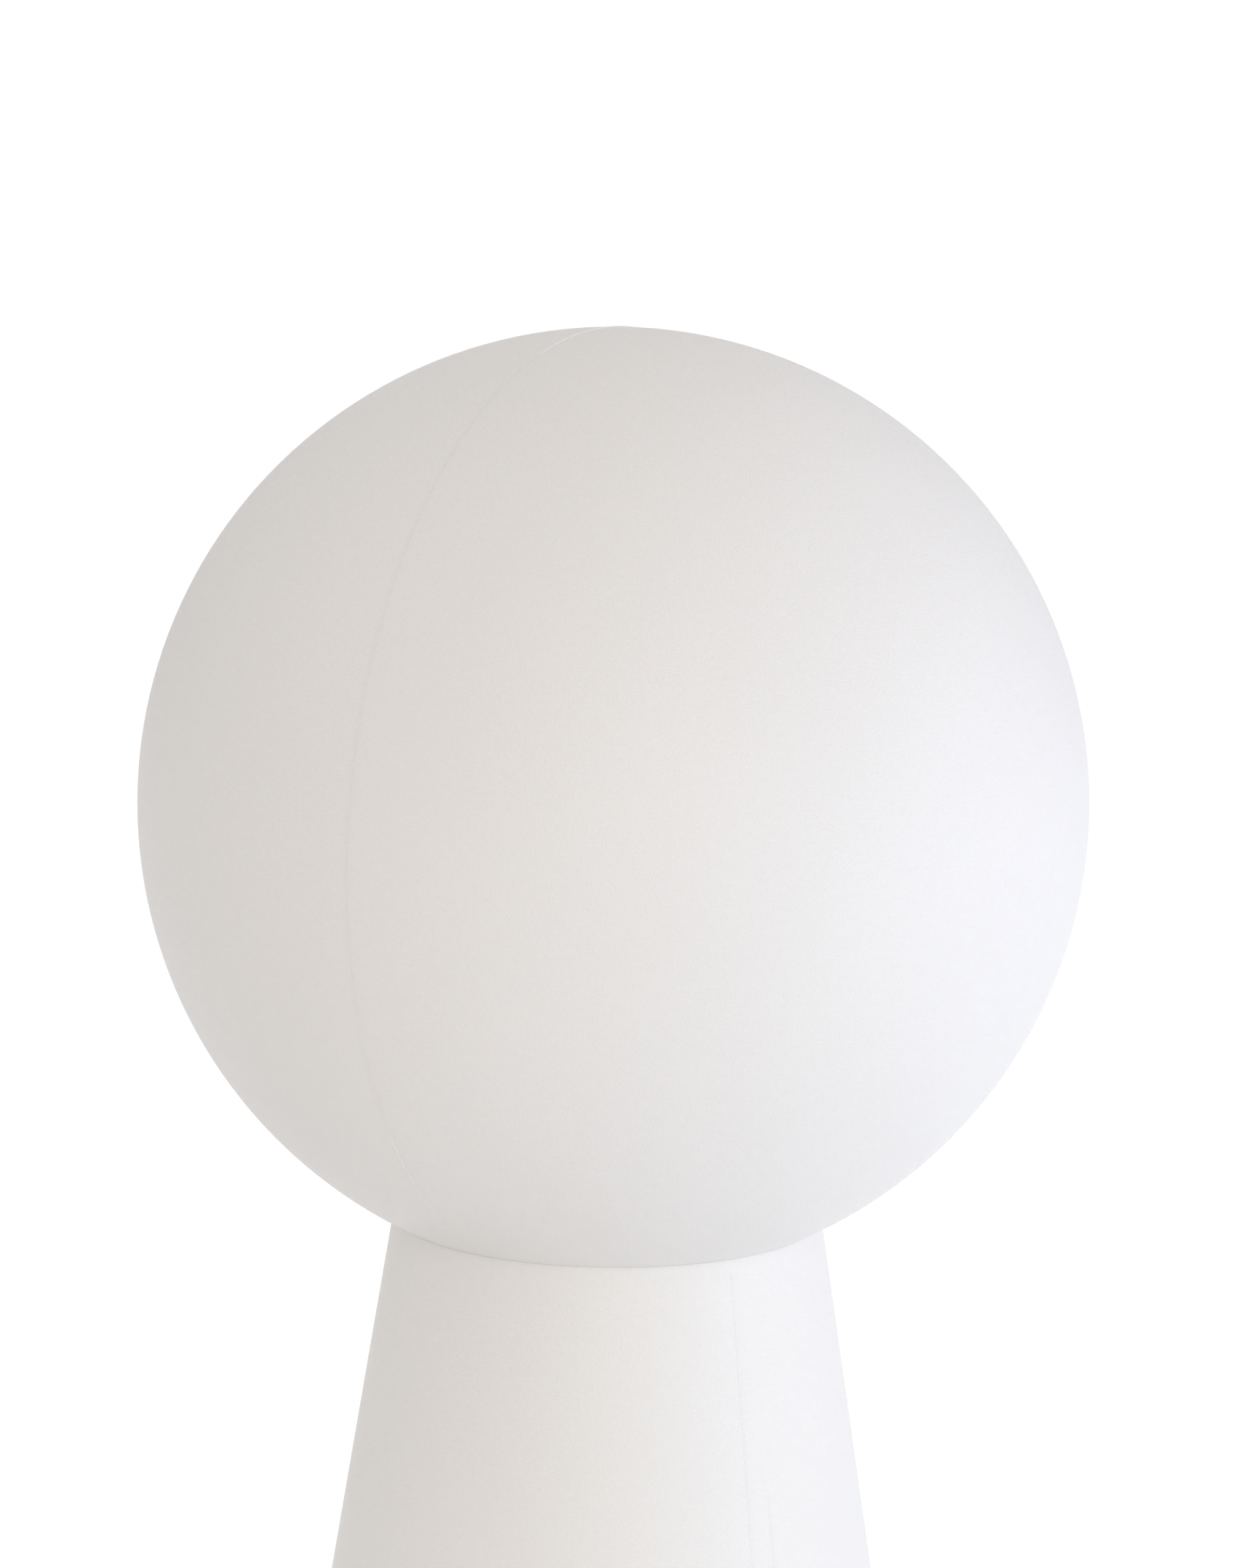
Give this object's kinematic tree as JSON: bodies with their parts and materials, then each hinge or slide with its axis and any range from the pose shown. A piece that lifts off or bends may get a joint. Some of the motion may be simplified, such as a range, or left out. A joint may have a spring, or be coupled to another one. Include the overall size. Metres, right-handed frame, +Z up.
{
  "type": "mushroom floor lamp",
  "caption": "Floor lamp with a moulded white globe that rests in the open top of a hollow conical base, around a screw-in bulb on a weighted stem.",
  "frame": {"origin": "on the floor under the lamp's axis", "axes": "+Z up along the axis of globe, stem and base; the front of the picture faces -Y and the cable inlet faces +Y"},
  "size_m": [0.5, 0.5, 1.1],
  "materials": {
    "globe_polyethylene": "satin, fine orange peel",
    "base_polyethylene": "satin, fine orange peel",
    "zinc_steel": "bright zinc plate",
    "painted_steel": "white powder coat",
    "ballast_iron": "sand cast, black dipped",
    "black_rubber": "moulded, matt",
    "gasket_foam": "cellular rubber",
    "black_nylon": "moulded",
    "white_nylon": "moulded, translucent",
    "brass": "turned and stamped",
    "tinned_copper": "tinned",
    "white_sheath": "extruded PVC",
    "core_insulation": "extruded PVC",
    "earth_insulation": "extruded PVC",
    "white_thermoplastic": "moulded",
    "steatite": "pressed and fired",
    "nickel_plate": "nickel plate",
    "black_glass": "glossy",
    "opal_polycarbonate": "frosted opal",
    "led_board_white": "white solder mask on aluminium",
    "circuit_board": "green solder mask"
  },
  "bodies": {
    "base": {"base_cone": "base_polyethylene", "bottom_plate": "zinc_steel", "bottom_plate_screws": "zinc_steel", "feet_screws": "zinc_steel", "feet_nuts": "zinc_steel", "ballast_bolts": "zinc_steel", "ballast_washers": "zinc_steel", "ballast_nuts": "zinc_steel", "stem_tube": "zinc_steel", "lower_stem_nuts": "zinc_steel", "upper_stem_nuts": "zinc_steel", "stem_washers": "zinc_steel", "stem_bracket": "zinc_steel", "bracket_screws": "zinc_steel", "carrier_screws": "zinc_steel", "terminal_block_screws": "zinc_steel", "earth_screw": "zinc_steel", "earth_nut": "zinc_steel", "carrier_plate": "painted_steel", "ballast_disc": "ballast_iron", "rubber_feet": "black_rubber", "gland_seal": "black_rubber", "seat_gasket": "gasket_foam", "gland_body": "black_nylon", "gland_cap": "black_nylon", "gland_locknut": "black_nylon", "terminal_block": "white_nylon", "terminal_clamp_screws": "brass", "lampholder_terminals": "brass", "lampholder_contact": "brass", "earth_tag": "tinned_copper", "inner_lead": "white_sheath", "lead_cores": "core_insulation", "holder_cores": "core_insulation", "earth_lead": "earth_insulation", "lampholder_cap": "white_thermoplastic", "lampholder_shell": "white_thermoplastic", "lampholder_core": "steatite", "lampholder_sleeve": "nickel_plate"},
    "globe": {"globe": "globe_polyethylene"},
    "bulb_tip": {"bulb_tip_contact": "brass", "bulb_tip_insulator": "black_glass"},
    "bulb": {"bulb_screw_cap": "nickel_plate", "bulb_housing": "white_thermoplastic", "bulb_led_board": "led_board_white", "bulb_diffuser": "opal_polycarbonate", "bulb_driver_board": "circuit_board"}
  },
  "joints": [
    {"name": "globe_lift", "type": "slide", "parent": "base", "child": "globe", "axis": [0, 0, 1], "range_m": [0, 0.22]},
    {"name": "bulb_rise", "type": "slide", "parent": "base", "child": "bulb_tip", "axis": [0, 0, 1], "range_m": [0, 0.0182]},
    {"name": "bulb_unscrew", "type": "hinge", "parent": "bulb_tip", "child": "bulb", "pos_m": [0, 0, 0.66], "axis": [0, 0, 1], "range_deg": [0, 1800]}
  ],
  "couplings": [
    {"joint": "bulb_rise", "follows": "bulb_unscrew", "m_per_rad": 0.00057757}
  ]
}
